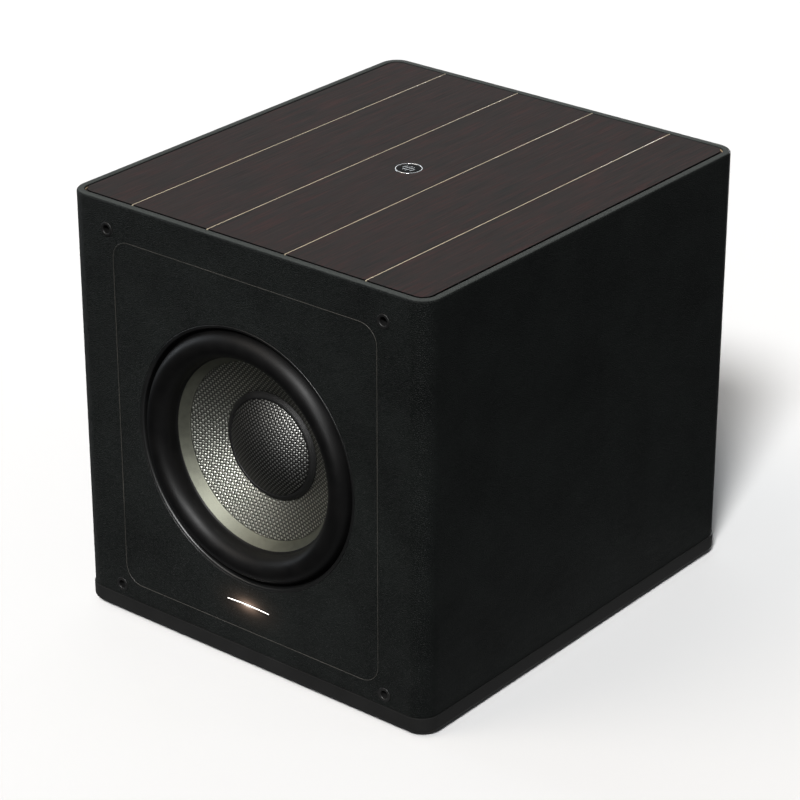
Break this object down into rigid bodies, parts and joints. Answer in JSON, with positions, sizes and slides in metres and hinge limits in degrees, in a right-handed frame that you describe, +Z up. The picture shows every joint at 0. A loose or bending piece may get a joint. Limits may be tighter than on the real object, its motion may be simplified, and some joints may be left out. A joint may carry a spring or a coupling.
{
  "type": "subwoofer cabinet",
  "caption": "Powered subwoofer: leather-wrapped box with an inset wood top, a front woofer and a plate amplifier behind.",
  "frame": {"origin": "on the floor, under the centre of the whole object's box", "axes": "+Z up; -Y out of the driver's face, the front; +Y out of the amplifier plate; +X to the right of someone facing the front"},
  "size_m": [0.402, 0.47, 0.408],
  "materials": {
    "black_leather": "fine-grained black leather, satin",
    "plinth_black": "dark textured lacquer",
    "dark_ebony": "dark fine-grained veneer, satin lacquer",
    "maple": "pale inlay line",
    "cabinet_board": "medium-density board, raw",
    "rubber_black": "satin rubber",
    "satin_black": "satin black",
    "chrome": "polished",
    "dark_metal": "dark polished",
    "cone_metal": "satin champagne",
    "cone_weave": "woven fibre composite, satin",
    "cap_weave": "dark woven fibre composite",
    "light_diffuser": "lit warm-white diffuser",
    "cast_alloy": "black powder coat",
    "steel": "plated steel",
    "ferrite": "sintered ferrite, matt",
    "copper": "enamelled copper wire",
    "spider_cloth": "resin-treated cloth",
    "wadding": "soft polyester wadding",
    "circuit_board": "populated circuit board",
    "anodised_black": "black anodised",
    "black_plastic": "moulded, satin",
    "foam_black": "closed-cell foam"
  },
  "bodies": {
    "cabinet": {"leather_wrap": "black_leather", "front_fascia": "black_leather", "plinth": "plinth_black", "wood_top": "dark_ebony", "badge_ring": "chrome", "badge_disc": "dark_metal", "light_bar": "light_diffuser", "light_board": "circuit_board", "speaker_cable": "black_plastic", "driver_trim_ring": "satin_black", "driver_basket": "cast_alloy", "surround": "rubber_black", "spider": "spider_cloth", "front_plate": "steel", "magnet": "ferrite", "yoke_and_pole": "steel", "terminal_strip": "black_plastic", "amp_plate": "anodised_black", "amp_gasket": "foam_black", "heatsink": "anodised_black", "amp_board": "circuit_board", "transformer": "copper", "balanced_input": "black_plastic", "power_inlet": "black_plastic", "power_switch_bezel": "black_plastic", "front_baffle": "cabinet_board", "rear_panel": "cabinet_board", "left_panel": "cabinet_board", "right_panel": "cabinet_board", "bottom_board": "cabinet_board", "top_board": "cabinet_board", "window_brace": "cabinet_board", "acoustic_lining": "wadding", "foot_1": "rubber_black", "grille_socket_1": "satin_black", "inlay_1": "maple", "foot_2": "rubber_black", "grille_socket_2": "satin_black", "inlay_2": "maple", "foot_3": "rubber_black", "grille_socket_3": "satin_black", "inlay_3": "maple", "foot_4": "rubber_black", "grille_socket_4": "satin_black", "inlay_4": "maple", "input_jack_1": "chrome", "input_jack_2": "chrome", "input_jack_3": "chrome"},
    "cone_assembly": {"cone": "cone_weave", "cone_band": "cone_metal", "dust_cap": "cap_weave", "coil_former": "steel", "voice_coil": "copper"},
    "volume_knob": {"volume_knob": "black_plastic"},
    "crossover_knob": {"crossover_knob": "black_plastic"},
    "phase_knob": {"phase_knob": "black_plastic"},
    "mode_slider": {"mode_slider": "black_plastic"},
    "fuse_drawer": {"fuse_drawer": "black_plastic"},
    "power_rocker": {"power_rocker": "black_plastic"},
    "balanced_input_latch": {"balanced_input_latch": "chrome"}
  },
  "joints": [
    {"name": "cone_slide", "type": "slide", "parent": "cabinet", "child": "cone_assembly", "axis": [0, -1, 0], "range_m": [-0.012, 0.012], "stiffness_N_per_m": 3000, "deforming": ["surround", "spider"]},
    {"name": "volume_turn", "type": "hinge", "parent": "cabinet", "child": "volume_knob", "pos_m": [-0.07, 0.221, 0.32], "axis": [0, 1, 0], "range_deg": [-150, 150]},
    {"name": "crossover_turn", "type": "hinge", "parent": "cabinet", "child": "crossover_knob", "pos_m": [0, 0.221, 0.32], "axis": [0, 1, 0], "range_deg": [-150, 150]},
    {"name": "phase_turn", "type": "hinge", "parent": "cabinet", "child": "phase_knob", "pos_m": [0.07, 0.221, 0.32], "axis": [0, 1, 0], "range_deg": [-150, 150]},
    {"name": "mode_slide", "type": "slide", "parent": "cabinet", "child": "mode_slider", "axis": [1, 0, 0], "range_m": [-0.0035, 0.0035]},
    {"name": "fuse_drawer_slide", "type": "slide", "parent": "cabinet", "child": "fuse_drawer", "axis": [0, 1, 0], "range_m": [0, 0.015]},
    {"name": "power_rock", "type": "hinge", "parent": "cabinet", "child": "power_rocker", "pos_m": [-0.04, 0.217, 0.108], "axis": [1, 0, 0], "range_deg": [-16, 0]},
    {"name": "latch_press", "type": "slide", "parent": "cabinet", "child": "balanced_input_latch", "axis": [0, -1, 0], "range_m": [0, 0.0018], "stiffness_N_per_m": 600, "springref_m": -0.002}
  ]
}
